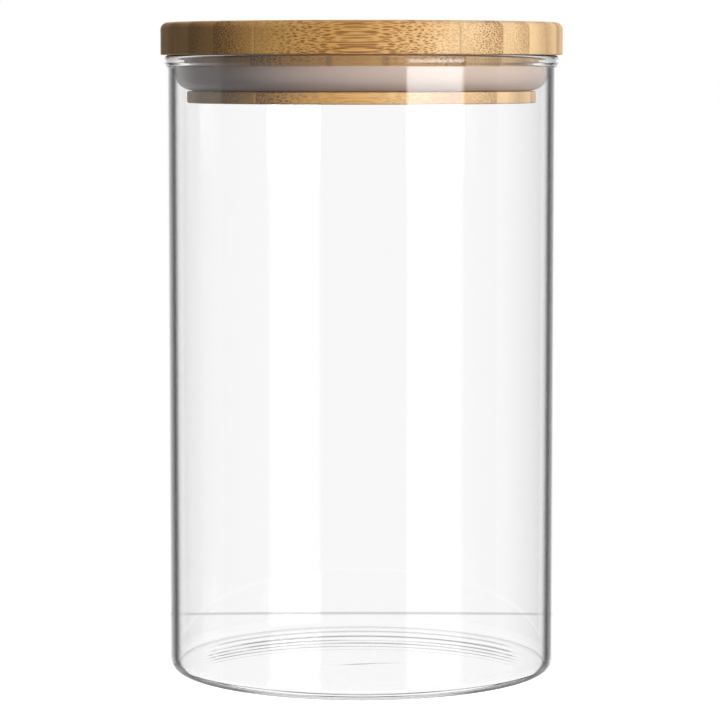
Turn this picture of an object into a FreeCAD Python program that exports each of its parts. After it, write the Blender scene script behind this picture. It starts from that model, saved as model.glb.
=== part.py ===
"""Food canister: a straight glass jar with a push-in bamboo lid and a silicone lip seal.

Frame: millimetres, +Z up along the jar's axis, origin at the centre of the foot. The lid's slats
run along X and are numbered from the front (-Y) to the back.

Every length is a cell of the sheet "sizes", and each sketch, box and fillet is bound to those cells.
The jar, the ring and the lid are turned parts: half of the section, r across and z up, is drawn on
the body's XZ plane and turned about Z.
"""
import FreeCAD, Part
import os

import Sketcher

SIZES = {
    # glass jar
    "glass_radius": 50.0,
    "glass_wall": 2.0,
    "glass_height": 158.0,
    "base_thickness": 1.8,
    "heel_radius": 2.5,
    "inner_heel_radius": 2.0,
    "push_up_radius": 44.0,
    "push_up_height": 0.6,
    "bead_proud": 0.5,
    "bead_height": 2.6,
    "bead_slope": 0.9,
    "rim_outer_round": 1.1,
    "rim_inner_round": 0.8,
    # turned lid, from the disc down to the flange
    "seat_gap": 0.07,
    "disc_radius": 51.4,
    "disc_thickness": 8.23,
    "disc_top_round": 1.8,
    "disc_edge_break": 0.3,
    "land_radius": 45.4,
    "land_height": 2.57,
    "groove_radius": 41.3,
    "groove_height": 6.6,
    "flange_radius": 44.7,
    "flange_thickness": 3.0,
    "flange_edge_round": 0.4,
    # slats of the glued board that the lid is turned from
    "slat_pitch": 7.66,
    "front_glue_line": 44.9,
    "bar_allowance": 1.0,
    # silicone ring in the groove
    "seal_side_gap": 0.05,
    "seal_leg_top_gap": 0.1,
    "seal_leg_thickness": 1.25,
    "seal_lip_radius": 6.35,
    "seal_lip_thickness": 1.0,
    "seal_edge_round": 0.3,
}
SLAT_COUNT = 14

# heights and radii that follow from the sizes above
DERIVED = {
    "disc_bottom": "glass_height + seat_gap",
    "disc_top": "disc_bottom + disc_thickness",
    "land_bottom": "disc_bottom - land_height",
    "flange_top": "land_bottom - groove_height",
    "flange_bottom": "flange_top - flange_thickness",
    "seal_inner": "groove_radius + seal_side_gap",
    "seal_bottom": "flange_top + seal_side_gap",
    "seal_lip_top": "seal_bottom + seal_lip_radius",
    "seal_lip_outer": "seal_inner + seal_lip_radius",
    "seal_leg_outer": "seal_inner + seal_leg_thickness",
    "seal_leg_top": "land_bottom - seal_leg_top_gap",
    "seal_channel_radius": "seal_lip_radius - seal_lip_thickness",
    "seal_channel_foot": "seal_lip_top - sqrt(seal_channel_radius ^ 2 - seal_leg_thickness ^ 2)",
    "bore_radius": "glass_radius - glass_wall",
    "bead_radius": "glass_radius + bead_proud",
    "bead_bottom": "glass_height - bead_height",
}

EDGE_TOLERANCE = 1e-4

doc = FreeCAD.newDocument("canister")
sheet = doc.addObject("Spreadsheet::Sheet", "sizes")


def fill_sheet():
    """One row for each size: its name in column A and its aliased value or formula in column B."""
    cells = {alias: str(value) for alias, value in SIZES.items()}
    cells.update({alias: f"={formula}" for alias, formula in DERIVED.items()})
    for row, (alias, text) in enumerate(cells.items(), start=1):
        sheet.set(f"A{row}", alias)
        sheet.set(f"B{row}", text)
        sheet.setAlias(f"B{row}", alias)
        doc.recompute()


def value(expression):
    """The number that an expression in the sheet's aliases gives."""
    return float(sheet.evalExpression(expression))


def bound(expression):
    """The same expression as other objects of the document write it, with the sheet's name."""
    words = expression.replace("(", " ( ").replace(")", " ) ").split()
    return " ".join(f"sizes.{word}" if hasattr(sheet, word) else word for word in words)


def origin_plane(body, role):
    """One of a body's own origin planes, such as XZ_Plane."""
    return next(plane for plane in body.Origin.OriginFeatures if plane.Role == role)


def pin_point(sketch, edge, vertex, r_expression, z_expression):
    """Hold one vertex of a sketch at (r, z) from the origin, bound to the sheet."""
    for kind, expression in (("DistanceX", r_expression), ("DistanceY", z_expression)):
        constraint = Sketcher.Constraint(kind, -1, 1, edge, vertex, value(expression))
        number = sketch.addConstraint(constraint)
        sketch.setExpression(f"Constraints[{number}]", bound(expression))


def section_sketch(body, name, corners, arc_centres=None):
    """A closed half section on the body's XZ plane.

    corners is the list of (r, z) expressions in order round the section. arc_centres gives, for a
    side that is an arc, the (r, z) expressions of its centre under the number of the corner that it
    starts from. Every other side is straight.
    """
    arc_centres = arc_centres or {}
    sketch = body.newObject("Sketcher::SketchObject", name)
    sketch.AttachmentSupport = (origin_plane(body, "XZ_Plane"), [""])
    sketch.MapMode = "FlatFace"
    spots = [FreeCAD.Vector(value(r), value(z), 0) for r, z in corners]
    for number, start in enumerate(spots):
        end = spots[(number + 1) % len(spots)]
        end_r, end_z = corners[(number + 1) % len(corners)]
        if number not in arc_centres:
            edge = sketch.addGeometry(Part.LineSegment(start, end), False)
            start_vertex, end_vertex = 1, 2
        else:
            centre_r, centre_z = arc_centres[number]
            centre = FreeCAD.Vector(value(centre_r), value(centre_z), 0)
            middle = (start + end) * 0.5 - centre
            middle = centre + middle * ((start - centre).Length / middle.Length)
            edge = sketch.addGeometry(Part.Arc(start, middle, end), False)
            starts_first = (sketch.getPoint(edge, 1) - start).Length < EDGE_TOLERANCE
            start_vertex, end_vertex = (1, 2) if starts_first else (2, 1)
            place = Sketcher.Constraint("DistanceX", -1, 1, edge, 3, centre.x)
            place_number = sketch.addConstraint(place)
            sketch.setExpression(f"Constraints[{place_number}]", bound(centre_r))
        pin_point(sketch, edge, start_vertex, *corners[number])
        pin_point(sketch, edge, end_vertex, end_r, end_z)
    return sketch


def turn_about_z(body, sketch, name):
    """Revolve a half section a full turn about the body's Z axis."""
    turned = body.newObject("PartDesign::Revolution", name)
    turned.Profile = sketch
    turned.ReferenceAxis = (sketch, ["V_Axis"])
    turned.Angle = 360
    doc.recompute()
    return turned


def ring_edges(feature, rings):
    """Names of the feature's circular edges that lie at the given (radius, height) places."""
    names = []
    for number, edge in enumerate(feature.Shape.Edges, start=1):
        if not isinstance(edge.Curve, Part.Circle):
            continue
        for r, z in rings:
            on_radius = abs(edge.Curve.Radius - value(r)) < EDGE_TOLERANCE
            on_height = abs(edge.Curve.Center.z - value(z)) < EDGE_TOLERANCE
            if on_radius and on_height:
                names.append(f"Edge{number}")
    if len(names) < len(rings):
        raise RuntimeError(f"{feature.Label}: {len(names)} of {len(rings)} edges found")
    return names


def ease_edges(body, kind, name, rings, expression):
    """Fillet or chamfer circular edges of the body's last feature. kind is Fillet or Chamfer."""
    base = body.Tip
    eased = body.newObject(f"PartDesign::{kind}", name)
    eased.Base = (base, ring_edges(base, rings))
    length = "Radius" if kind == "Fillet" else "Size"
    eased.setExpression(length, bound(expression))
    doc.recompute()
    return eased


def new_body(label):
    body = doc.addObject("PartDesign::Body", label)
    body.Label = label
    return body


# ---------------------------------------------------------------------------------------------
# Glass jar: tube, closed base with a shallow push-up, rolled rim
# ---------------------------------------------------------------------------------------------
def make_glass_jar():
    body = new_body("glass_jar")
    section = section_sketch(body, "jar_section", [
        ("0", "push_up_height"),
        ("push_up_radius", "0"),
        ("glass_radius", "0"),
        ("glass_radius", "bead_bottom"),
        ("bead_radius", "bead_bottom + bead_slope"),
        ("bead_radius", "glass_height"),
        ("bore_radius", "glass_height"),
        ("bore_radius", "base_thickness"),
        ("push_up_radius", "base_thickness"),
        ("0", "base_thickness + push_up_height"),
    ])
    turn_about_z(body, section, "jar_blank")
    ease_edges(body, "Fillet", "heel", [("glass_radius", "0")], "heel_radius")
    ease_edges(body, "Fillet", "inner_heel", [("bore_radius", "base_thickness")], "inner_heel_radius")
    ease_edges(body, "Fillet", "rim_outside", [("bead_radius", "glass_height")], "rim_outer_round")
    ease_edges(body, "Fillet", "rim_inside", [("bore_radius", "glass_height")], "rim_inner_round")
    return body


# ---------------------------------------------------------------------------------------------
# Seal ring: a leg in the lid's groove and a lip that sweeps out and up to the glass
# ---------------------------------------------------------------------------------------------
def make_seal_ring():
    body = new_body("seal_ring")
    section = section_sketch(
        body, "seal_section",
        [
            ("seal_inner", "seal_bottom"),
            ("seal_lip_outer", "seal_lip_top"),
            ("seal_lip_outer - seal_lip_thickness", "seal_lip_top"),
            ("seal_leg_outer", "seal_channel_foot"),
            ("seal_leg_outer", "seal_leg_top"),
            ("seal_inner", "seal_leg_top"),
        ],
        arc_centres={0: ("seal_inner", "seal_lip_top"), 2: ("seal_inner", "seal_lip_top")},
    )
    turn_about_z(body, section, "seal_moulding")
    edges = [
        ("seal_lip_outer", "seal_lip_top"),
        ("seal_lip_outer - seal_lip_thickness", "seal_lip_top"),
        ("seal_leg_outer", "seal_leg_top"),
    ]
    ease_edges(body, "Fillet", "soft_edges", edges, "seal_edge_round")
    return body


# ---------------------------------------------------------------------------------------------
# Lid: a glued board of slats, turned to a disc, a land, the seal's groove and a flange
# ---------------------------------------------------------------------------------------------
def make_lid_turning():
    """The turned outline of the whole lid. It isn't a piece: each slat is cut out of it."""
    body = new_body("lid_turning")
    section = section_sketch(body, "lid_section", [
        ("0", "flange_bottom"),
        ("flange_radius", "flange_bottom"),
        ("flange_radius", "flange_top"),
        ("groove_radius", "flange_top"),
        ("groove_radius", "land_bottom"),
        ("land_radius", "land_bottom"),
        ("land_radius", "disc_bottom"),
        ("disc_radius", "disc_bottom"),
        ("disc_radius", "disc_top"),
        ("0", "disc_top"),
    ])
    turn_about_z(body, section, "lid_blank")
    ease_edges(body, "Fillet", "disc_edge", [("disc_radius", "disc_top")], "disc_top_round")
    ease_edges(body, "Chamfer", "disc_arris", [("disc_radius", "disc_bottom")], "disc_edge_break")
    flange_edges = [("flange_radius", "flange_bottom"), ("flange_radius", "flange_top")]
    ease_edges(body, "Fillet", "flange_edges", flange_edges, "flange_edge_round")
    return body


def glue_line(number):
    """Expression for the Y of the glue line behind slat number, counted from 1 at the front."""
    return f"{number - 1} * slat_pitch - front_glue_line"


def make_slat(number, turning):
    """One bar of the board, a little larger than the turned lid, cut to the lid's outline."""
    front = glue_line(number - 1) if number > 1 else "0 - disc_radius - bar_allowance"
    back = glue_line(number) if number < SLAT_COUNT else "disc_radius + bar_allowance"
    bar = doc.addObject("Part::Box", f"slat_bar_{number:02d}")
    sizes = {
        "Length": "2 * ( disc_radius + bar_allowance )",
        "Width": f"{back} - ( {front} )",
        "Height": "disc_top - flange_bottom + 2 * bar_allowance",
        ".Placement.Base.x": "0 - disc_radius - bar_allowance",
        ".Placement.Base.y": front,
        ".Placement.Base.z": "flange_bottom - bar_allowance",
    }
    for name, expression in sizes.items():
        bar.setExpression(name, bound(expression))
    slat = doc.addObject("Part::Common", f"lid_slat_{number:02d}")
    slat.Label = f"lid_slat_{number:02d}"
    slat.Base = bar
    slat.Tool = turning
    return slat


# ---------------------------------------------------------------------------------------------
# Build, check and write
# ---------------------------------------------------------------------------------------------
def check_document(pieces, turning):
    """Stop on a failed feature, a broken shape, or slats that don't make up the whole lid."""
    for item in doc.Objects:
        if {"Invalid", "Error"} & set(item.State):
            raise RuntimeError(f"{item.Label} failed: {item.State}")
    for sketch in doc.findObjects("Sketcher::SketchObject"):
        if not sketch.FullyConstrained:
            raise RuntimeError(f"{sketch.Label} isn't fully constrained")
    for piece in pieces:
        shape = piece.Shape
        if shape.isNull() or not shape.isValid() or len(shape.Solids) != 1:
            raise RuntimeError(f"{piece.Label} isn't one valid solid")
    slats = [piece for piece in pieces if piece.Label.startswith("lid_slat")]
    missing = turning.Shape.Volume - sum(slat.Shape.Volume for slat in slats)
    if abs(missing) > 1.0:
        raise RuntimeError(f"the slats differ from the turned lid by {missing:.2f} mm3")


def write_steps(pieces):
    os.makedirs("parts", exist_ok=True)
    for piece in pieces:
        piece.Shape.exportStep(f"parts/{piece.Label}.step")
        box = piece.Shape.BoundBox
        print(f"{piece.Label}: {piece.Shape.Volume:.0f} mm3, z {box.ZMin:.2f} to {box.ZMax:.2f}")


fill_sheet()
lid_turning = make_lid_turning()
pieces = [make_glass_jar(), make_seal_ring()]
pieces += [make_slat(number, lid_turning) for number in range(1, SLAT_COUNT + 1)]
doc.recompute()
check_document(pieces, lid_turning)
write_steps(pieces)
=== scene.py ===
"""Glass canister with a turned bamboo lid and a silicone lip seal.

Laid out as an add-on and run as a script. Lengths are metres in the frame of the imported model, with +Z up
the jar's axis and -Y at the front. The jar, the ring and the lid are turned pieces: a profile (r, z) is
carried round Z.
"""
import math

import bmesh
import bpy
import numpy as np
from bpy.props import FloatProperty, FloatVectorProperty, IntProperty, PointerProperty
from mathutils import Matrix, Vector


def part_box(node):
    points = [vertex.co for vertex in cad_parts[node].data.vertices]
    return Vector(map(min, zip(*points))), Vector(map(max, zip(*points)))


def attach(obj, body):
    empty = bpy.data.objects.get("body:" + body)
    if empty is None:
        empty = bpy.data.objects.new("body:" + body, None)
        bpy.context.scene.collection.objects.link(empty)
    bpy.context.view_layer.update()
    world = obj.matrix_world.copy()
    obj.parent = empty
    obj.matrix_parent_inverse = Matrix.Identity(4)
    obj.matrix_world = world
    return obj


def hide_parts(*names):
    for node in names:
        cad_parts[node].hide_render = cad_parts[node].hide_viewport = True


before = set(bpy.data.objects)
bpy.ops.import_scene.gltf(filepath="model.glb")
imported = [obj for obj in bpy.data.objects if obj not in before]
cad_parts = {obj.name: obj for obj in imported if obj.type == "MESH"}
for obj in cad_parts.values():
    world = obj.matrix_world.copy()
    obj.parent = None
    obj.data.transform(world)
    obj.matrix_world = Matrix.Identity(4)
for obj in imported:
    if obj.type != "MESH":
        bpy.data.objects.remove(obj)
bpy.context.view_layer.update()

bl_info = {
    "name": "Canister with bamboo lid",
    "version": (1, 0, 0),
    "blender": (4, 5, 0),
    "location": "View3D > Sidebar > Canister",
    "description": "Builds the visible glass, silicone and bamboo of a food canister round its frame",
    "category": "Object",
}

MM = 0.001
WELD = 1e-7                 # points nearer than this are one point
TINY = 1e-9                 # less than this is nothing
SHARP = math.radians(35.0)  # an edge that bends more than this is shaded as a crease
SLATS = sorted(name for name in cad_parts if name.startswith("lid_slat_"))

# ---------------------------------------------------------------------------------------------
# Sizes that the frame gives
# ---------------------------------------------------------------------------------------------
JAR_LOW, JAR_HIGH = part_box("glass_jar")
SEAL_LOW, SEAL_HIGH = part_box("seal_ring")
FULL_SLAT_LOW, FULL_SLAT_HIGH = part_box("lid_slat_07")     # from the disc's top to the flange's underside
DISC_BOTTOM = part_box("lid_slat_14")[0].z                  # the back slat holds only the disc
LAND_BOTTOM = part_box("lid_slat_01")[0].z                  # the front slat ends under the land
SLAT_PITCH = FULL_SLAT_HIGH.y - FULL_SLAT_LOW.y


# ---------------------------------------------------------------------------------------------
# Properties
# ---------------------------------------------------------------------------------------------
def length(name, description, millimetres):
    """A property for a length, with its default given in mm."""
    return FloatProperty(name=name, description=description, default=millimetres * MM, unit="LENGTH",
                         precision=5)


def colour(name, description, rgb):
    """A property for a colour."""
    return FloatVectorProperty(name=name, description=description, default=rgb, size=3, subtype="COLOR",
                               min=0.0, max=1.0)


class CanisterGlass(bpy.types.PropertyGroup):
    wall: length("Wall", "Thickness of the tube's wall", 2.0)
    base: length("Base", "Thickness of the base", 1.8)
    heel: length("Heel width", "How far the outer corner reaches in under the foot", 2.1)
    heel_rise: length("Heel height", "How far the outer corner reaches up the wall", 4.5)
    inner_heel: length("Inner heel radius", "Inner corner between wall and base", 1.0)
    bead_proud: length("Bead", "How far the rolled rim stands out of the wall", 0.5)
    bead_height: length("Bead height", "Height of the rolled rim", 2.6)
    push_up_radius: length("Push-up radius", "Radius inside which the base is dished", 44.0)
    push_up: length("Push-up", "Depth of the dish in the foot", 0.15)
    ripple: length("Flow lines", "Depth of the waves in the underside of the base", 0.035)
    around: IntProperty(name="Steps around", description="Steps round the jar", default=288, min=24)
    # Painted shade: this dark colour goes into the glass's colour where the outer wall is seen edge on, in
    # place of the dark band that bent light gives.
    edge: colour("Edge tint", "What the wall lets through where it is seen edge on", (0.012, 0.012, 0.012))


class CanisterSeal(bpy.types.PropertyGroup):
    lip: length("Lip", "Thickness of the lip at its root", 1.0)
    lip_tip: length("Lip tip", "Thickness of the lip at its edge", 0.55)
    leg: length("Leg", "Thickness of the leg in the groove", 1.25)
    reach: length("Reach", "Gap between the lip's edge and the jar's bore", 0.08)
    around: IntProperty(name="Steps around", description="Steps round the ring", default=240, min=24)
    tint: colour("Silicone", "Colour of the silicone", (0.95, 0.74, 0.61))


class CanisterLid(bpy.types.PropertyGroup):
    land_radius: length("Land radius", "Radius of the land between disc and groove", 45.4)
    groove_radius: length("Groove radius", "Radius of the groove's floor", 41.3)
    flange_radius: length("Flange radius", "Radius of the flange that holds the ring up", 44.7)
    flange: length("Flange", "Thickness of the flange", 3.0)
    top_round: length("Top edge", "Rounding of the disc's top edge", 1.8)
    arris: length("Lower edge", "Rounding of the disc's lower edge", 0.3)
    flange_round: length("Flange edges", "Rounding of the flange's edges", 0.4)
    steps: IntProperty(name="Steps", description="Steps across each slat", default=16, min=4)
    warm: colour("Warm bamboo", "Bamboo at the left ends of the slats", (0.94, 0.52, 0.155))
    pale: colour("Pale bamboo", "Bamboo at the right ends of the slats", (0.86, 0.60, 0.32))
    bundle: colour("Bundles", "Fibre bundles and their end grain", (0.29, 0.115, 0.035))
    glue: colour("Glue", "Line of glue between two slats", (0.34, 0.19, 0.085))


class CanisterStage(bpy.types.PropertyGroup):
    lens: FloatProperty(name="Lens", description="Focal length of the camera in mm", default=158.2)
    distance: length("Distance", "From the jar's axis to the camera", 814.4)
    height: length("Height", "Camera above the foot", 155.0)
    aside: length("Aside", "Camera beside the jar's axis", -0.4)
    pitch: FloatProperty(name="Pitch", description="How far the camera looks down",
                         default=math.radians(5.29), subtype="ANGLE")
    turn: FloatProperty(name="Turn", description="Camera round the jar's axis",
                        default=math.radians(1.4), subtype="ANGLE")
    key: FloatProperty(name="Key light", description="Power of the softbox at the right in watts",
                       default=8.8, subtype="POWER")
    back: FloatProperty(name="Back light", description="Power of the light behind in watts",
                        default=3.5, subtype="POWER")
    top: FloatProperty(name="Top light", description="Power of the light overhead in watts",
                       default=1.6, subtype="POWER")
    ambient: FloatProperty(name="Ambient", description="Light of the room on matt surfaces", default=0.08)
    room: FloatProperty(name="Room", description="Brightness of the room in reflections", default=0.5)
    table_edge: FloatProperty(name="Table's edge", default=0.35,
                              description="Darkness of the table's far edge in the glass")
    softbox: FloatProperty(name="Softbox", default=6.5,
                           description="Brightness of the softbox's middle in reflections")
    softbox_ends: FloatProperty(name="Softbox ends", default=1.6,
                                description="Brightness of the softbox above and below its middle")


# ---------------------------------------------------------------------------------------------
# Profiles and turned surfaces
# ---------------------------------------------------------------------------------------------
def arc(centre_r, centre_z, radius, start, stop, steps=8, flatten=1.0):
    """Points of an arc in a profile: (c_r + R cos t, c_z + R f sin t) for t from start to stop degrees."""
    t = np.radians(np.linspace(start, stop, steps + 1))
    return np.stack([centre_r + radius * np.cos(t), centre_z + radius * flatten * np.sin(t)], axis=1)


def profile(*stretches):
    """One profile, an array of (r, z), from points and arcs in order, without repeated points."""
    points = np.concatenate([np.atleast_2d(np.asarray(s, dtype=float)) for s in stretches])
    apart = np.linalg.norm(np.diff(points, axis=0), axis=1) > WELD
    return points[np.concatenate([[True], apart])]


def grid_faces(rows, columns, wrap_rows=False, wrap_columns=False):
    """Corner numbers of the four-sided faces between neighbouring points of a rows x columns grid."""
    i = np.arange(rows if wrap_rows else rows - 1)[:, None]
    j = np.arange(columns if wrap_columns else columns - 1)[None, :]
    below, right = (i + 1) % rows, (j + 1) % columns
    corners = [i * columns + j, i * columns + right, below * columns + right, below * columns + j]
    return np.stack([np.broadcast_to(c, (i.size, j.size)) for c in corners], axis=-1).reshape(-1, 4)


def new_piece(name, points, quads, rings=()):
    """A mesh object from points, four-sided faces and a few many-sided ones, welded, with faces outward."""
    corners = np.concatenate([quads.ravel(), *rings]).astype(np.int32)
    sizes = np.concatenate([np.full(len(quads), 4), [len(r) for r in rings]]).astype(np.int32)
    mesh = bpy.data.meshes.new(name)
    mesh.vertices.add(len(points))
    mesh.vertices.foreach_set("co", points.astype(np.float32).ravel())
    mesh.loops.add(len(corners))
    mesh.loops.foreach_set("vertex_index", corners)
    mesh.polygons.add(len(sizes))
    mesh.polygons.foreach_set("loop_start", np.concatenate([[0], np.cumsum(sizes)[:-1]]).astype(np.int32))
    mesh.update(calc_edges=True)
    shape = bmesh.new()
    shape.from_mesh(mesh)
    bmesh.ops.remove_doubles(shape, verts=shape.verts, dist=WELD)
    bmesh.ops.recalc_face_normals(shape, faces=shape.faces)
    shape.to_mesh(mesh)
    shape.free()
    mesh.shade_smooth()
    mesh.set_sharp_from_angle(angle=SHARP)
    piece = bpy.data.objects.new(name, mesh)
    bpy.context.scene.collection.objects.link(piece)
    return piece


def turned_piece(name, outline, around, closed):
    """A profile turned round Z: point (i, j) is (r_i cos a_j, r_i sin a_j, z_i), a_j = 2 pi j / around."""
    angle = np.arange(around) * (2 * np.pi / around)
    r, z = outline[:, :1], outline[:, 1:]
    points = np.stack([r * np.cos(angle), r * np.sin(angle), np.broadcast_to(z, (len(z), around))], axis=-1)
    faces = grid_faces(len(outline), around, wrap_rows=closed, wrap_columns=True)
    return new_piece(name, points.reshape(-1, 3), faces)


def write_attribute(piece, name, values):
    """A number at each point of a piece, for its material."""
    layer = piece.data.attributes.new(name, "FLOAT", "POINT")
    layer.data.foreach_set("value", np.asarray(values, dtype=np.float32))


def points_of(piece):
    """A piece's points, one row of (x, y, z) each."""
    flat = np.empty(len(piece.data.vertices) * 3, np.float32)
    piece.data.vertices.foreach_get("co", flat)
    return flat.reshape(-1, 3)


# ---------------------------------------------------------------------------------------------
# Glass jar
# ---------------------------------------------------------------------------------------------
FOOT_SHOULDER = 22 * MM     # the dish's rise takes this much of its radius

# Waves in the underside of the base, from its back edge forward: where each starts in mm, and its strength.
FLOW_LINES = (
    (0.0, 0.0), (6.9, 0.5), (14.8, 0.9), (20.9, 1.3),
    (25.5, 0.85), (30.1, 0.6), (34.7, 0.3), (39.0, 0.0),
)
FLOW_RADIUS = 46.9 * MM     # the circles that the waves follow
FLOW_SIDE = 41.5 * MM       # no waves further to the side than this
FLOW_SIDE_FADE = 4 * MM
FLAT_RADIUS = 46.5 * MM     # no waves or mark outside this radius
FLAT_FADE = 3 * MM

# One short mark before the middle of the base, along a line that bends like a sine.
MARK_X = 1.5 * MM
MARK_Y = -9 * MM
MARK_LENGTH = 8 * MM
MARK_WIDTH = 0.9 * MM
MARK_SWAY = 1.6 * MM
MARK_SWAY_LENGTH = 6 * MM
MARK_STRENGTH = 0.9

LEAD_IN = 0.3 * MM          # the wall starts to swell this far below the bead's foot
LEAD_OUT = 0.85 * MM        # and has swelled this far above it
RIM_OUTER = 1.1 * MM        # roundings of the rim
RIM_INNER = 1.0 * MM
SUPPORT = 0.1 * MM          # from the end of a straight stretch to the point that keeps its shading straight
WALL_TOP_SUPPORT = 0.3 * MM
BORE_SUPPORT = 0.4 * MM


def foot_height(r, glass):
    """The dish in the foot's underside: push_up times 3u^2 - 2u^3, u from 0 at its edge to 1 inside."""
    u = np.clip((glass.push_up_radius - r) / FOOT_SHOULDER, 0.0, 1.0)
    return glass.push_up * u * u * (3 - 2 * u)


def flow_height(x, y, glass):
    """Waves in the underside of the base, behind the middle, and one short mark before it.

    The waves follow circles of radius R = FLOW_RADIUS that slide forward by c = sqrt(R^2 - x^2) - y. Their
    height is the sine of a phase that gains one turn from each place in FLOW_LINES to the next, times the
    strength there, and fades at the sides. The mark is a bell across its line and along it.
    """
    places, strengths = np.array(FLOW_LINES).T
    forward = np.sqrt(np.maximum(FLOW_RADIUS ** 2 - x ** 2, 0.0)) - y
    turns = np.interp(forward, places * MM, np.arange(len(places)))
    waves = np.sin(2 * np.pi * turns) * np.interp(forward, places * MM, strengths)
    waves *= np.clip((FLOW_SIDE - np.abs(x)) / FLOW_SIDE_FADE, 0.0, 1.0)
    line = MARK_Y + MARK_SWAY * np.sin(x / MARK_SWAY_LENGTH)
    mark = np.exp(-((y - line) / MARK_WIDTH) ** 2 - ((x - MARK_X) / MARK_LENGTH) ** 2)
    inside = np.clip((FLAT_RADIUS - np.hypot(x, y)) / FLAT_FADE, 0.0, 1.0)
    return glass.ripple * (waves + MARK_STRENGTH * mark) * inside


def jar_outline(glass):
    """The jar's section from the middle of the foot, out and up the wall, over the rim and back inside.

    A point just inside each end of the straight wall keeps the wall's shading straight between them.
    """
    outer = JAR_HIGH.x - glass.bead_proud
    inner = outer - glass.wall
    top = JAR_HIGH.z
    bead_low = top - glass.bead_height
    foot_r = np.linspace(0.0, outer - glass.heel, 160)
    foot = np.stack([foot_r, foot_height(foot_r, glass)], axis=1)
    rise = np.linspace(0.0, 1.0, 14)[1:-1]
    swell_r = outer + glass.bead_proud * np.sin(rise * np.pi / 2) ** 2
    swell = np.stack([swell_r, bead_low - LEAD_IN + rise * (LEAD_OUT + LEAD_IN)], axis=1)
    floor_r = np.linspace(inner - glass.inner_heel, 0.0, 60)
    floor = np.stack([floor_r, glass.base + foot_height(floor_r, glass)], axis=1)
    heel_top = JAR_LOW.z + glass.heel_rise
    proud = outer + glass.bead_proud
    bore_low = glass.base + glass.inner_heel
    return profile(
        foot,
        arc(outer - glass.heel, heel_top, glass.heel, -90, 0, 32, glass.heel_rise / glass.heel),
        (outer, heel_top + SUPPORT),
        (outer, bead_low - LEAD_IN - WALL_TOP_SUPPORT),
        (outer, bead_low - LEAD_IN),
        swell,
        (proud, bead_low + LEAD_OUT),
        (proud, bead_low + LEAD_OUT + SUPPORT),
        arc(proud - RIM_OUTER, top - RIM_OUTER, RIM_OUTER, 0, 90, 12),
        arc(inner + RIM_INNER, top - RIM_INNER, RIM_INNER, 90, 180, 12),
        (inner, top - RIM_INNER - BORE_SUPPORT),
        (inner, bore_low + BORE_SUPPORT),
        arc(inner - glass.inner_heel, bore_low, glass.inner_heel, 0, -90, 20),
        floor,
    )


# ---------------------------------------------------------------------------------------------
# Seal ring
# ---------------------------------------------------------------------------------------------
LEG_RADIUS = 41.35 * MM     # inside of the leg, just clear of the groove's floor
LEG_CORNER = 0.3 * MM
FULLNESS = 2.7              # 2 is an ellipse, and more is nearer a rectangle with rounded corners


def full_arc(centre_r, centre_z, half_r, half_z, start, stop, steps):
    """Points of a full ellipse, below its centre and outside it, for t from start to stop.

    (c_r + a cos(t)^(2/n), c_z - b sin(t)^(2/n)), where a and b are the half axes and n is FULLNESS.
    """
    t = np.linspace(start, stop, steps + 1)
    power = 2 / FULLNESS
    across, down = np.cos(t).clip(0.0) ** power, np.sin(t).clip(0.0) ** power
    return np.stack([centre_r + half_r * across, centre_z - half_z * down], axis=1)


def seal_outline(seal, bore):
    """The ring's J section: up the lip's outside, over its edge, down the channel and round the leg.

    Both faces of the lip are quarters of a full ellipse about the top of the leg, so it thins towards its
    edge.
    """
    inner, bottom, top = LEG_RADIUS, SEAL_LOW.z, SEAL_HIGH.z
    edge = bore - seal.reach
    tip, corner = seal.lip_tip / 2, LEG_CORNER
    crest = top - tip
    outer_r, outer_z = edge - inner, crest - bottom
    channel_r, channel_z = edge - seal.lip_tip - inner, outer_z - seal.lip
    foot_angle = math.acos((seal.leg / channel_r) ** (FULLNESS / 2))
    return profile(
        full_arc(inner, crest, outer_r, outer_z, math.pi / 2, 0.0, 40),
        arc(edge - tip, crest, tip, 0, 180, 10),
        full_arc(inner, crest, channel_r, channel_z, 0.0, foot_angle, 30),
        arc(inner + seal.leg - corner, top - corner, corner, 0, 90, 5),
        arc(inner + corner, top - corner, corner, 90, 180, 5),
    )


# ---------------------------------------------------------------------------------------------
# Lid
# ---------------------------------------------------------------------------------------------
LAND_NICK = 0.15 * MM       # rounding of the land's lower edge
RIM_SUPPORT = 0.3 * MM      # from an end of the disc's rim to the point that keeps its shading straight


def lid_outline(lid):
    """The turned lid's section from the middle of its top, over the disc, down the groove to its bottom."""
    disc, top, bottom = FULL_SLAT_HIGH.x, FULL_SLAT_HIGH.z, FULL_SLAT_LOW.z
    flange_top = bottom + lid.flange
    edge, arris, small = lid.top_round, lid.arris, lid.flange_round
    return profile(
        (0.0, top),
        arc(disc - edge, top - edge, edge, 90, 0, 12),
        (disc, top - edge - RIM_SUPPORT),
        (disc, DISC_BOTTOM + arris + RIM_SUPPORT),
        arc(disc - arris, DISC_BOTTOM + arris, arris, 0, -90, 5),
        (lid.land_radius, DISC_BOTTOM),
        arc(lid.land_radius - LAND_NICK, LAND_BOTTOM + LAND_NICK, LAND_NICK, 0, -90, 4),
        (lid.groove_radius, LAND_BOTTOM),
        (lid.groove_radius, flange_top),
        arc(lid.flange_radius - small, flange_top - small, small, 90, 0, 6),
        arc(lid.flange_radius - small, bottom + small, small, 0, -90, 6),
        (0.0, bottom),
    )


def with_radii(outline, radii):
    """The profile with a point put in wherever it crosses one of these radii."""
    for radius in radii:
        a, b = outline[:-1], outline[1:]
        crossing = (a[:, 0] - radius) * (b[:, 0] - radius) < -TINY * TINY
        share = ((radius - a[crossing, 0]) / (b[crossing, 0] - a[crossing, 0]))[:, None]
        points = a[crossing] + share * (b[crossing] - a[crossing])
        points[:, 0] = radius
        outline = np.insert(outline, np.flatnonzero(crossing) + 1, points, axis=0)
    return outline


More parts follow.
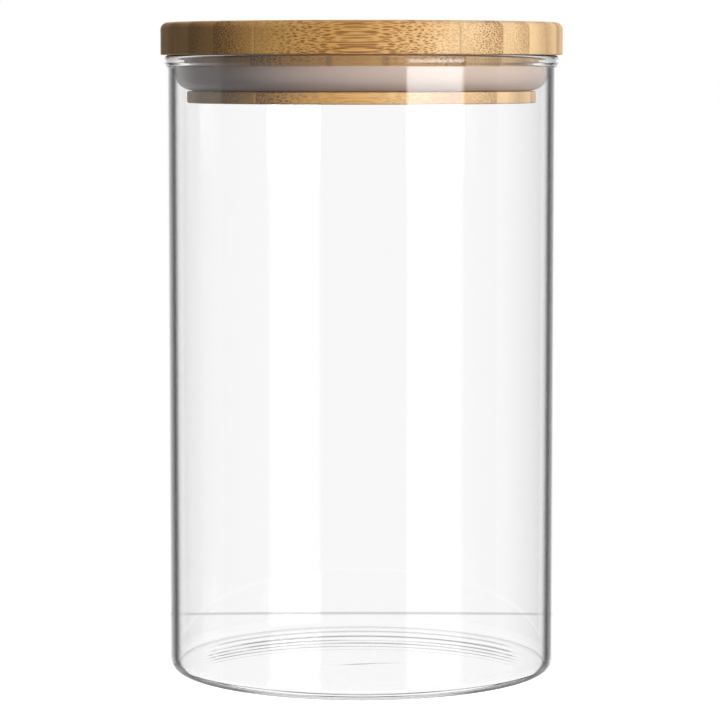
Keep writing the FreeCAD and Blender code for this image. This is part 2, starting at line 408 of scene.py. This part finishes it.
def slat_piece(name, outline, front, back, steps):
    """The part of the turned lid between two planes of constant y, as a closed solid.

    Right half: point (i, j) is (r_i cos a, r_i sin a, z_i), where a runs in equal steps from
    asin(front / r_i) to asin(back / r_i), each held between -90 and 90 degrees. The left half is its mirror
    in x. The two cut faces are one flat face each.
    """
    nearest = 0.0 if front < 0.0 < back else min(abs(front), abs(back))
    outline = with_radii(outline, (abs(front), abs(back)))
    outline = outline[outline[:, 0] >= nearest - TINY]
    r, z = outline[:, :1], outline[:, 1:]
    start, stop = (np.arcsin(np.clip(y / np.maximum(r, TINY), -1.0, 1.0)) for y in (front, back))
    angle = start + (stop - start) * np.linspace(0.0, 1.0, steps + 1)
    right = np.stack([r * np.cos(angle), r * np.sin(angle), np.broadcast_to(z, angle.shape)], axis=-1)
    halves = np.stack([right, right * (-1.0, 1.0, 1.0)])
    rows, columns = angle.shape
    quads = grid_faces(rows, columns)
    quads = np.concatenate([quads, quads[:, ::-1] + rows * columns])
    caps = []
    for column, plane in ((0, front), (columns - 1, back)):
        on_plane = np.flatnonzero(outline[:, 0] >= abs(plane) - TINY)
        if len(on_plane) > 2:
            side = on_plane * columns + column
            caps.append(np.concatenate([side, side[::-1] + rows * columns]))
    caps = [drop_repeats(cap, halves.reshape(-1, 3)) for cap in caps]
    return new_piece(name, halves.reshape(-1, 3), quads, caps)


def drop_repeats(ring, points):
    """A ring of point numbers without those that lie on the one before them."""
    apart = np.linalg.norm(points[ring] - points[np.roll(ring, 1)], axis=1) > WELD
    return ring[apart]


# ---------------------------------------------------------------------------------------------
# Node helpers
# ---------------------------------------------------------------------------------------------
def add(tree, kind, inputs=None, **settings):
    """A new node. inputs maps a socket's name or number to a plain value or to another node's output."""
    made = tree.nodes.new(kind)
    for name, value in settings.items():
        setattr(made, name, value)
    for key, value in (inputs or {}).items():
        if isinstance(value, bpy.types.NodeSocket):
            tree.links.new(value, made.inputs[key])
        else:
            made.inputs[key].default_value = value
    return made


def maths(tree, operation, *values, clamp=False):
    """A number worked out from others by one Math node."""
    node = add(tree, "ShaderNodeMath", dict(enumerate(values)), operation=operation, use_clamp=clamp)
    return node.outputs[0]


def ramp(tree, value, low, high, to_low=0.0, to_high=1.0):
    """A smooth step of value from low to high, given out as to_low to to_high."""
    inputs = {"Value": value, "From Min": low, "From Max": high, "To Min": to_low, "To Max": to_high}
    return add(tree, "ShaderNodeMapRange", inputs, interpolation_type="SMOOTHSTEP").outputs["Result"]


def product(tree, *values):
    """All these numbers multiplied, from the first to the last."""
    result = values[0]
    for value in values[1:]:
        result = maths(tree, "MULTIPLY", result, value)
    return result


def choose(tree, switch, when_off, when_on):
    """when_on where switch is 1, when_off where it is 0."""
    inputs = {"Value": switch, "From Min": 0.0, "From Max": 1.0, "To Min": when_off, "To Max": when_on}
    return add(tree, "ShaderNodeMapRange", inputs).outputs["Result"]


def blend_colours(tree, share, first, second, kind="MIX"):
    """Two colours mixed by share, which is a number from 0 to 1 or an output."""
    node = add(tree, "ShaderNodeMix", data_type="RGBA", blend_type=kind)
    sockets = {"Factor": share, "A": first, "B": second}
    for socket in node.inputs:
        value = sockets.get(socket.name) if socket.type == "RGBA" or socket.name == "Factor" else None
        if value is None or (socket.name == "Factor" and socket.type != "VALUE"):
            continue
        if isinstance(value, bpy.types.NodeSocket):
            tree.links.new(value, socket)
        else:
            socket.default_value = (*value, 1.0) if hasattr(value, "__len__") else value
    return next(s for s in node.outputs if s.type == "RGBA")


def new_group(name, inputs, outputs):
    """An empty node group with named sockets. inputs gives (name, kind, default)."""
    group = bpy.data.node_groups.new(name, "ShaderNodeTree")
    for label, kind, default in inputs:
        socket = group.interface.new_socket(label, in_out="INPUT", socket_type=f"NodeSocket{kind}")
        if default is not None:
            socket.default_value = default
    for label, kind in outputs:
        group.interface.new_socket(label, in_out="OUTPUT", socket_type=f"NodeSocket{kind}")
    return group, group.nodes.new("NodeGroupInput"), group.nodes.new("NodeGroupOutput")


def use_group(tree, name, inputs):
    """A node that stands for a group, with its inputs set."""
    return add(tree, "ShaderNodeGroup", inputs, node_tree=bpy.data.node_groups[name])


def attribute_of(tree, name):
    """A number that write_attribute put on the piece."""
    return add(tree, "ShaderNodeAttribute", attribute_name=name).outputs["Fac"]


def object_place(tree):
    """Where a point of the piece is, in the frame's coordinates."""
    return add(tree, "ShaderNodeTexCoord").outputs["Object"]


def set_stops(node, stops):
    """Give a colour ramp node these (place, grey) stops."""
    ramp_of = node.color_ramp
    while len(ramp_of.elements) < len(stops):
        ramp_of.elements.new(1.0)
    for element, (where, grey) in zip(ramp_of.elements, stops):
        element.position = where
        element.color = (grey, grey, grey, 1.0)


def new_material(name):
    """A material with an empty tree but for its output and one Principled shader."""
    material = bpy.data.materials.new(name)
    material.use_nodes = True
    tree = material.node_tree
    tree.nodes.clear()
    shader = add(tree, "ShaderNodeBsdfPrincipled")
    output = add(tree, "ShaderNodeOutputMaterial")
    tree.links.new(shader.outputs["BSDF"], output.inputs["Surface"])
    return material, tree, shader


# ---------------------------------------------------------------------------------------------
# Shared effects
# ---------------------------------------------------------------------------------------------
def mottle_group():
    """Soft uneven patches: noise of a given size and stretch, put out as a value about 0 from -1 to 1."""
    group, entry, end = new_group(
        "soft_mottle",
        [
            ("Place", "Vector", None),
            ("Per metre", "Vector", (100.0, 100.0, 100.0)),
            ("Detail", "Float", 2.0),
        ],
        [("Value", "Float")],
    )
    scaled = add(group, "ShaderNodeVectorMath", {0: entry.outputs["Place"], 1: entry.outputs["Per metre"]},
                 operation="MULTIPLY")
    noise = add(group, "ShaderNodeTexNoise",
                {"Vector": scaled.outputs[0], "Scale": 1.0, "Detail": entry.outputs["Detail"]})
    centred = maths(group, "MULTIPLY_ADD", noise.outputs[0], 2.0, -1.0)
    group.links.new(centred, end.inputs["Value"])


BUNDLE_DRIFT = 0.6 * MM     # how far a bundle strays up or across, at most
BUNDLE_DRIFT_RATE = 45.0    # how often it does so, per metre
BUNDLE_DISORDER = 0.9       # 0 sets the bundles in rows, 1 scatters them
BUNDLE_EDGE = (0.55, 1.15)  # a dot fades between these shares of its size


def bundle_group():
    """Cut ends of the fibre bundles: dots about cell centres in the plane across the fibres.

    The cells lie in (y, z) and drift slowly along x. Dot is a dot's radius as a share of a cell, and each
    dot is 0.7 to 1.2 times that. The mask is 1 inside a dot and 0 outside it.
    """
    group, entry, end = new_group(
        "fibre_bundles",
        [
            ("Place", "Vector", None),
            ("Per metre", "Float", 900.0),
            ("Dot", "Float", 0.3),
            ("Shift", "Float", 0.0),
        ],
        [("Mask", "Float")],
    )
    drift = add(group, "ShaderNodeTexNoise",
                {"Vector": entry.outputs["Place"], "Scale": BUNDLE_DRIFT_RATE, "Detail": 1.0})
    drift = add(group, "ShaderNodeVectorMath",
                {0: drift.outputs["Color"], 1: (0.0, BUNDLE_DRIFT, BUNDLE_DRIFT)}, operation="MULTIPLY")
    moved = add(group, "ShaderNodeVectorMath", {0: entry.outputs["Place"], 1: drift.outputs[0]},
                operation="ADD")
    parts = add(group, "ShaderNodeSeparateXYZ", {0: moved.outputs[0]})
    across = maths(group, "MULTIPLY_ADD", parts.outputs["Y"], entry.outputs["Per metre"],
                   entry.outputs["Shift"])
    up = maths(group, "MULTIPLY", parts.outputs["Z"], entry.outputs["Per metre"])
    flat = add(group, "ShaderNodeCombineXYZ", {0: across, 1: up})
    cells = add(group, "ShaderNodeTexVoronoi",
                {"Vector": flat.outputs[0], "Scale": 1.0, "Randomness": BUNDLE_DISORDER},
                voronoi_dimensions="2D")
    chance = add(group, "ShaderNodeSeparateColor", {0: cells.outputs["Color"]}).outputs[0]
    size = maths(group, "MULTIPLY_ADD", chance, 0.5, 0.7)
    reach = maths(group, "MULTIPLY", entry.outputs["Dot"], size)
    near = maths(group, "DIVIDE", cells.outputs["Distance"], reach)
    group.links.new(ramp(group, near, *BUNDLE_EDGE, 1.0, 0.0), end.inputs["Mask"])


# ---------------------------------------------------------------------------------------------
# Materials
# ---------------------------------------------------------------------------------------------
# Painted shade: how dark the wall's colour is made, from 0 to 1, against how far it turns away from the eye:
# 0 is head on, 1 is edge on.
PAINTED_EDGE_SHADE = (
    (0.62, 0.0), (0.645, 0.10), (0.66, 0.25), (0.675, 0.54), (0.69, 0.81), (0.705, 0.95), (0.722, 1.0),
    (0.737, 1.0), (0.755, 0.98), (0.775, 0.93), (0.79, 0.85), (0.81, 0.70), (0.83, 0.40), (0.86, 0.0),
)
BEAD_SHADE_SHARE = 0.6            # the bead's share of that darkness, when the wall's is 1
BEAD_MARGIN = 0.5 * MM      # it starts this far below the bead
HEEL_SHADE_SHARE = 3.4            # the heel's: more than 1 makes more of it fully dark
HEEL_SHADE_HEIGHTS = (0.1 * MM, 0.4 * MM, 1.4 * MM, 3.2 * MM)     # no darkness, the heel's share twice, the wall's

GLASS_IOR = 1.45
SILICONE_IOR = 1.41
WAXED_BAMBOO_IOR = 1.45


def glass_material(glass):
    """Clear glass. The outside of the wall gets painted shade where it is seen edge on, all but its very
    edge: its colour darkens there in place of the dark band that bent light gives.
    """
    material, tree, shader = new_material("clear_glass")
    # Painted shade: the glass's colour is mixed towards the edge colour by how edge on the outer wall is
    # seen.
    facing = add(tree, "ShaderNodeLayerWeight", {"Blend": 0.5}).outputs["Facing"]
    dark = add(tree, "ShaderNodeValToRGB", {"Fac": facing})
    set_stops(dark, PAINTED_EDGE_SHADE)
    wall = attribute_of(tree, "painted_shade_share")
    share = maths(tree, "MULTIPLY", dark.outputs["Color"], wall, clamp=True)
    tint = blend_colours(tree, share, (1.0, 1.0, 1.0), tuple(glass.edge))
    tree.links.new(tint, shader.inputs["Base Color"])
    shader.inputs["Roughness"].default_value = 0.0
    shader.inputs["IOR"].default_value = GLASS_IOR
    shader.inputs["Transmission Weight"].default_value = 1.0
    return material


def silicone_material(seal):
    """Translucent silicone with a satin skin and faint cloudiness."""
    material, tree, shader = new_material("silicone")
    cloud = use_group(tree, "soft_mottle",
                      {"Place": object_place(tree), "Per metre": (120.0, 120.0, 260.0), "Detail": 3.0})
    share = maths(tree, "MULTIPLY_ADD", cloud.outputs["Value"], 0.25, 0.5)
    darker = tuple(c * 0.9 for c in seal.tint)
    tree.links.new(blend_colours(tree, share, darker, tuple(seal.tint)), shader.inputs["Base Color"])
    rough = maths(tree, "MULTIPLY_ADD", cloud.outputs["Value"], 0.05, 0.42)
    tree.links.new(rough, shader.inputs["Roughness"])
    shader.inputs["IOR"].default_value = SILICONE_IOR
    shader.inputs["Transmission Weight"].default_value = 0.3
    return material


WARM_TO_PALE = (-6 * MM, 32 * MM)   # along x
WARM_STRAY = 12 * MM                # how far a patch moves that change, either way
COARSE_BUNDLES = {"Per metre": 1850.0, "Dot": 0.32}
FINE_BUNDLES = {"Per metre": 2900.0, "Dot": 0.36}
GRAIN = {"Per metre": (22.0, 2600.0, 2600.0), "Detail": 2.0}        # long thin streaks along the fibres
PATCHES = {"Per metre": (12.0, 260.0, 160.0), "Detail": 2.0}        # broad uneven bands along the fibres
GLUE_EDGE = (0.955, 0.985)          # the line of glue, in half slats from a slat's middle


def bamboo_material(lid):
    """Laminated bamboo cut in every direction: one solid pattern in the frame's own coordinates.

    "across" runs from 0 at a slat's pith side to 1 at its skin side, "tone" lightens or darkens a slat,
    "clarity" says how clearly its fibre bundles show, and "shift" moves them, so that slats differ.
    """
    material, tree, shader = new_material("bamboo")
    place = object_place(tree)
    across, tone, shift, clarity = (
        attribute_of(tree, name) for name in ("across", "tone", "shift", "clarity"))
    coarse = use_group(tree, "fibre_bundles", {"Place": place, "Shift": shift, **COARSE_BUNDLES})
    fine = use_group(tree, "fibre_bundles", {"Place": place, "Shift": shift, **FINE_BUNDLES})
    grain = use_group(tree, "soft_mottle", {"Place": place, **GRAIN}).outputs["Value"]
    patches = use_group(tree, "soft_mottle", {"Place": place, **PATCHES}).outputs["Value"]

    along = add(tree, "ShaderNodeSeparateXYZ", {0: place}).outputs["X"]
    along = maths(tree, "MULTIPLY_ADD", patches, WARM_STRAY, along)
    base = blend_colours(tree, ramp(tree, along, *WARM_TO_PALE), tuple(lid.warm), tuple(lid.pale))
    base = blend_colours(tree, ramp(tree, across, 0.3, 1.0, 0.0, 0.25), base, tuple(lid.bundle))

    # Bundles are more and darker towards the skin side.
    coarse_share = product(tree, coarse.outputs["Mask"], ramp(tree, across, 0.1, 0.6, 0.35, 0.95))
    fine_share = product(tree, fine.outputs["Mask"], ramp(tree, across, 0.35, 1.0, 0.25, 0.95))
    dots = product(tree, maths(tree, "MAXIMUM", coarse_share, fine_share), clarity)
    wood = blend_colours(tree, dots, base, tuple(lid.bundle))
    edge = maths(tree, "ABSOLUTE", maths(tree, "MULTIPLY_ADD", across, 2.0, -1.0))
    wood = blend_colours(tree, ramp(tree, edge, *GLUE_EDGE, 0.0, 0.4), wood, tuple(lid.glue))

    light = maths(tree, "MULTIPLY_ADD", grain, 0.16, tone)
    light = maths(tree, "MULTIPLY_ADD", patches, 0.14, light)
    grey = add(tree, "ShaderNodeCombineColor", {0: light, 1: light, 2: light}).outputs[0]
    wood = blend_colours(tree, 1.0, wood, grey, kind="MULTIPLY")
    tree.links.new(wood, shader.inputs["Base Color"])

    rough = maths(tree, "MULTIPLY_ADD", dots, 0.12, 0.48)
    rough = maths(tree, "MULTIPLY_ADD", grain, 0.04, rough)
    tree.links.new(rough, shader.inputs["Roughness"])
    height = maths(tree, "MULTIPLY_ADD", dots, -0.6, grain)
    bump = add(tree, "ShaderNodeBump", {"Strength": 0.25, "Distance": 0.06 * MM, "Height": height})
    tree.links.new(bump.outputs["Normal"], shader.inputs["Normal"])
    shader.inputs["IOR"].default_value = WAXED_BAMBOO_IOR
    return material


def floor_material():
    """A pale floor that gives off its own light, so that only the softest shade shows on it."""
    material, tree, shader = new_material("pale_floor")
    cloud = use_group(tree, "soft_mottle",
                      {"Place": object_place(tree), "Per metre": (2.0, 2.0, 2.0), "Detail": 1.0})
    share = maths(tree, "MULTIPLY_ADD", cloud.outputs["Value"], 0.5, 0.5)
    tree.links.new(blend_colours(tree, share, (0.93, 0.93, 0.93), (0.95, 0.95, 0.95)),
                   shader.inputs["Base Color"])
    shader.inputs["Roughness"].default_value = 0.9
    shader.inputs["Emission Color"].default_value = (1.0, 1.0, 1.0, 1.0)
    shader.inputs["Emission Strength"].default_value = 0.9
    return material


# ---------------------------------------------------------------------------------------------
# Stage
# ---------------------------------------------------------------------------------------------
# Directions in the surround. Azimuths are in degrees to the right of the front, and heights are the upward
# part of a direction of length 1. Where two are given, the brightness changes from the first to the second.
SOFTBOX_SIDES = (28, 63)            # azimuths of its left and right edges
SOFTBOX_BLUR = 1.2                  # half the width over which they fade
SOFTBOX_BOTTOM = (-0.62, -0.55)     # heights
SOFTBOX_TOP = (0.7, 0.77)
MIDDLE_BOTTOM = (-0.04, -0.013)     # heights of the softbox's bright middle
MIDDLE_TOP = (0.14, 0.24)
ROOM_SIDES = (95, 115)              # azimuths between which the room darkens to the share ROOM_BEHIND
ROOM_BEHIND = 0.4
BACKDROP = (153, 163)               # azimuths
TABLE = (-0.35, -0.18)              # heights
OFF_BASE = (0.0, 0.06)              # heights from which light off the base is white
TABLE_EDGE = -0.1713                # height of the table's far edge
TABLE_EDGE_HALF = (0.0001, 0.0006)  # its line fades between these distances from that height
TABLE_EDGE_FROM = 155               # azimuth
AMBIENT_HUE = (0.9, 0.97, 1.3)      # colour of the ambient light


def make_world(stage):
    """A white surround for what is seen directly or straight through the glass, and a room for the rest.

    In reflections the room is grey above a white table and before a white backdrop, with one tall softbox
    that is brightest in its middle. Light that only turns back inside one wall or off the base is seen as
    white. The table's far edge shows through the glass as a thin line. Matt surfaces get only the ambient
    light, so that the lamps shape them.
    """
    world = bpy.data.worlds.new("studio")
    world.use_nodes = True
    world.cycles.sampling_method = "NONE"
    tree = world.node_tree
    tree.nodes.clear()
    direction = add(tree, "ShaderNodeTexCoord").outputs["Generated"]
    parts = add(tree, "ShaderNodeSeparateXYZ", {0: direction}).outputs
    height = parts["Z"]
    azimuth = maths(tree, "ARCTAN2", parts["X"], maths(tree, "MULTIPLY", parts["Y"], -1.0))
    behind = maths(tree, "ABSOLUTE", azimuth)
    path = add(tree, "ShaderNodeLightPath").outputs
    glossy, through = path["Glossy Depth"], path["Transmission Depth"]

    # A depth is the number of bounces or surfaces on the way here, and each limit lies between two of them.
    room = surround_room(tree, stage, azimuth, behind, height)
    shallow = maths(tree, "LESS_THAN", through, 4.5)
    backdrop = product(tree, shallow, ramp(tree, behind, *map(math.radians, BACKDROP)))
    room = maths(tree, "MAXIMUM", room, backdrop)
    room = maths(tree, "MAXIMUM", room, ramp(tree, height, *TABLE, 1.0, 0.0))
    off_base = product(tree, maths(tree, "GREATER_THAN", through, 2.5), ramp(tree, height, *OFF_BASE),
                       maths(tree, "LESS_THAN", glossy, 1.5))
    room = choose(tree, off_base, room, 1.0)

    few = maths(tree, "LESS_THAN", glossy, 4.5)
    in_one_wall = maths(tree, "COMPARE", through, 2.0, 0.5)
    turned_back = product(tree, few, in_one_wall, maths(tree, "GREATER_THAN", behind, math.radians(90)))
    mirrored = maths(tree, "GREATER_THAN", glossy, 0.5)
    mirrored = product(tree, mirrored, maths(tree, "SUBTRACT", 1.0, turned_back))
    edge = maths(tree, "ABSOLUTE", maths(tree, "ADD", height, -TABLE_EDGE))
    edge = product(tree, ramp(tree, edge, *TABLE_EDGE_HALF, stage.table_edge, 0.0),
                   maths(tree, "GREATER_THAN", behind, math.radians(TABLE_EDGE_FROM)))
    matt = maths(tree, "GREATER_THAN", path["Diffuse Depth"], 0.5)
    light = choose(tree, mirrored, maths(tree, "SUBTRACT", 1.0, edge), room)
    light = choose(tree, matt, light, stage.ambient)
    light = choose(tree, path["Is Camera Ray"], light, 1.0)
    hue = blend_colours(tree, matt, (1.0, 1.0, 1.0), AMBIENT_HUE)
    background = add(tree, "ShaderNodeBackground", {"Color": hue, "Strength": light})
    output = add(tree, "ShaderNodeOutputWorld")
    tree.links.new(background.outputs[0], output.inputs["Surface"])
    bpy.context.scene.world = world


def surround_room(tree, stage, azimuth, behind, height):
    """The grey room and its softbox, as a brightness for each direction."""
    blur = math.radians(SOFTBOX_BLUR)
    left, right = map(math.radians, SOFTBOX_SIDES)
    box = product(
        tree,
        ramp(tree, azimuth, left - blur, left + blur),
        ramp(tree, azimuth, right - blur, right + blur, 1.0, 0.0),
        ramp(tree, height, *SOFTBOX_BOTTOM),
        ramp(tree, height, *SOFTBOX_TOP, 1.0, 0.0),
    )
    middle = product(tree, ramp(tree, height, *MIDDLE_BOTTOM), ramp(tree, height, *MIDDLE_TOP, 1.0, 0.0))
    strength = maths(tree, "MULTIPLY_ADD", middle, stage.softbox - stage.softbox_ends, stage.softbox_ends)
    room = maths(tree, "MULTIPLY_ADD", box, maths(tree, "SUBTRACT", strength, stage.room), stage.room)
    return product(tree, room, ramp(tree, behind, *map(math.radians, ROOM_SIDES), 1.0, ROOM_BEHIND))


def make_lamp(name, power, azimuth, elevation, distance, size):
    """A rectangular lamp aimed at the lid, azimuth degrees to the right of the front.

    It isn't seen in reflections or through the glass.
    """
    data = bpy.data.lights.new(name, "AREA")
    data.shape, data.size, data.size_y = "RECTANGLE", *size
    data.energy = power
    lamp = bpy.data.objects.new(name, data)
    bpy.context.scene.collection.objects.link(lamp)
    a, e = math.radians(azimuth), math.radians(elevation)
    away = (math.sin(a) * math.cos(e), -math.cos(a) * math.cos(e), math.sin(e))
    lamp.location = [distance * c for c in away]
    lamp.location.z += FULL_SLAT_LOW.z
    lamp.rotation_euler = (math.pi / 2 - e, 0.0, a)
    lamp.visible_glossy = False
    lamp.visible_transmission = False


def make_camera(stage):
    """The camera, level but for its pitch and a small turn round the jar's axis."""
    data = bpy.data.cameras.new("camera")
    data.lens = stage.lens
    camera = bpy.data.objects.new("camera", data)
    bpy.context.scene.collection.objects.link(camera)
    a = stage.turn
    camera.location = (
        stage.distance * math.sin(a) + stage.aside * math.cos(a),
        -stage.distance * math.cos(a) + stage.aside * math.sin(a),
        stage.height,
    )
    camera.rotation_euler = (math.pi / 2 - stage.pitch, 0.0, a)
    bpy.context.scene.camera = camera


FLOOR_RINGS = (0.0, 0.3, 1.0, 3.0, 12.0)       # radii in metres
FLOOR_AROUND = 48


def make_floor():
    """A large flat disc under the foot: point (i, j) is (r_i cos a_j, r_i sin a_j, 0).

    It is seen directly but not in the glass, where the surround stands for it.
    """
    angle = np.arange(FLOOR_AROUND) * (2 * np.pi / FLOOR_AROUND)
    r = np.array(FLOOR_RINGS)[:, None]
    points = np.stack([r * np.cos(angle), r * np.sin(angle), np.zeros((len(r), FLOOR_AROUND))], axis=-1)
    floor = new_piece("floor", points.reshape(-1, 3), grid_faces(len(r), FLOOR_AROUND, wrap_columns=True))
    floor.data.materials.append(floor_material())
    floor.visible_glossy = floor.visible_transmission = floor.visible_diffuse = False


# ---------------------------------------------------------------------------------------------
# Operators
# ---------------------------------------------------------------------------------------------
class CANISTER_OT_effects(bpy.types.Operator):
    """Make the node groups that the materials share"""
    bl_idname = "canister.effects"
    bl_label = "Shared effects"

    def execute(self, context):
        mottle_group()
        bundle_group()
        return {"FINISHED"}


class CANISTER_OT_glass(bpy.types.Operator):
    """Make the glass jar"""
    bl_idname = "canister.glass"
    bl_label = "Glass jar"

    def execute(self, context):
        glass = context.scene.canister_glass
        jar = turned_piece("jar_glass", jar_outline(glass), glass.around, closed=False)
        place = points_of(jar)
        x, y, height = place.T
        place[:, 2] = height + np.where(height < glass.base / 2, flow_height(x, y, glass), 0.0)
        jar.data.vertices.foreach_set("co", place.ravel())
        # Share of painted shade on the outer wall: part of it on the bead, none at the very foot, more than
        # full at the heel.
        middle = JAR_HIGH.x - glass.bead_proud - glass.wall / 2
        under_bead = JAR_HIGH.z - glass.bead_height - BEAD_MARGIN
        share = np.where(height < under_bead, 1.0, BEAD_SHADE_SHARE)
        share *= np.interp(height, HEEL_SHADE_HEIGHTS, (0.0, HEEL_SHADE_SHARE, HEEL_SHADE_SHARE, 1.0))
        write_attribute(jar, "painted_shade_share", (np.hypot(x, y) > middle) * share)
        jar.data.materials.append(glass_material(glass))
        jar.visible_shadow = jar.visible_diffuse = False
        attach(jar, "jar")
        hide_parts("glass_jar")
        return {"FINISHED"}


class CANISTER_OT_seal(bpy.types.Operator):
    """Make the silicone ring"""
    bl_idname = "canister.seal"
    bl_label = "Seal ring"

    def execute(self, context):
        glass, seal = context.scene.canister_glass, context.scene.canister_seal
        bore = JAR_HIGH.x - glass.bead_proud - glass.wall
        ring = turned_piece("lip_ring", seal_outline(seal, bore), seal.around, closed=True)
        ring.data.materials.append(silicone_material(seal))
        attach(ring, "seal")
        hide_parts("seal_ring")
        return {"FINISHED"}


CLARITY = {0: 0.95, 1: 1.0, 2: 0.6, 3: 0.3}     # how clearly bundles show in the slats at the front
OTHER_CLARITY = (0.4, 0.9)
TONES = (0.95, 1.04)
SHIFTS = (0.0, 50.0)
TURNED_SLATS = (0, 4, 5, 9, 12)                 # glued in with their skin side to the front
SEED = 11


class CANISTER_OT_lid(bpy.types.Operator):
    """Make the slats of the bamboo lid"""
    bl_idname = "canister.lid"
    bl_label = "Bamboo lid"

    def execute(self, context):
        lid = context.scene.canister_lid
        outline = lid_outline(lid)
        bamboo = bamboo_material(lid)
        draw = np.random.default_rng(SEED)
        beyond = FULL_SLAT_HIGH.x + MM
        for number, node in enumerate(SLATS):
            low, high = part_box(node)
            front = -beyond if number == 0 else low.y
            back = beyond if number == len(SLATS) - 1 else high.y
            slat = slat_piece(f"bamboo_{node[4:]}", outline, front, back, lid.steps)
            pith_front = low.y if number else high.y - SLAT_PITCH
            share = (points_of(slat)[:, 1] - pith_front) / SLAT_PITCH
            count = len(slat.data.vertices)
            tone, clarity, shift = (draw.uniform(*limits) for limits in (TONES, OTHER_CLARITY, SHIFTS))
            write_attribute(slat, "across", 1 - share if number in TURNED_SLATS else share)
            write_attribute(slat, "tone", np.full(count, tone))
            write_attribute(slat, "clarity", np.full(count, CLARITY.get(number, clarity)))
            write_attribute(slat, "shift", np.full(count, shift))
            slat.data.materials.append(bamboo)
            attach(slat, "lid")
            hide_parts(node)
        return {"FINISHED"}


class CANISTER_OT_stage(bpy.types.Operator):
    """Make the floor, the surround, the lamps and the camera"""
    bl_idname = "canister.stage"
    bl_label = "Stage"

    def execute(self, context):
        stage = context.scene.canister_stage
        context.scene.view_settings.view_transform = "Standard"
        light = context.scene.cycles
        light.max_bounces = light.transmission_bounces = 32
        light.glossy_bounces = 24
        make_camera(stage)
        make_world(stage)
        make_floor()
        make_lamp("key_softbox", stage.key, azimuth=44, elevation=12, distance=0.9, size=(0.35, 0.7))
        make_lamp("back_softbox", stage.back, azimuth=180, elevation=25, distance=1.2, size=(0.8, 0.6))
        make_lamp("top_softbox", stage.top, azimuth=180, elevation=80, distance=1.0, size=(0.8, 0.8))
        return {"FINISHED"}


class CANISTER_PT_panel(bpy.types.Panel):
    """Buttons and sizes of the canister"""
    bl_idname = "CANISTER_PT_panel"
    bl_label = "Canister"
    bl_space_type = "VIEW_3D"
    bl_region_type = "UI"
    bl_category = "Canister"

    def draw(self, context):
        for operator in OPERATORS:
            self.layout.operator(operator.bl_idname)
        for name in GROUPS:
            values = getattr(context.scene, name)
            box = self.layout.box()
            for key in values.__annotations__:
                box.prop(values, key)


GROUPS = {
    "canister_glass": CanisterGlass,
    "canister_seal": CanisterSeal,
    "canister_lid": CanisterLid,
    "canister_stage": CanisterStage,
}
OPERATORS = (CANISTER_OT_effects, CANISTER_OT_stage, CANISTER_OT_glass, CANISTER_OT_seal, CANISTER_OT_lid)


def register():
    for name, group in GROUPS.items():
        bpy.utils.register_class(group)
        setattr(bpy.types.Scene, name, PointerProperty(type=group))
    for item in (*OPERATORS, CANISTER_PT_panel):
        bpy.utils.register_class(item)


def unregister():
    for item in (CANISTER_PT_panel, *reversed(OPERATORS)):
        bpy.utils.unregister_class(item)
    for name, group in GROUPS.items():
        delattr(bpy.types.Scene, name)
        bpy.utils.unregister_class(group)


def main():
    """Make everything."""
    register()
    bpy.ops.canister.effects()
    bpy.ops.canister.stage()
    bpy.ops.canister.glass()
    bpy.ops.canister.seal()
    bpy.ops.canister.lid()


if __name__ == "__main__":
    main()
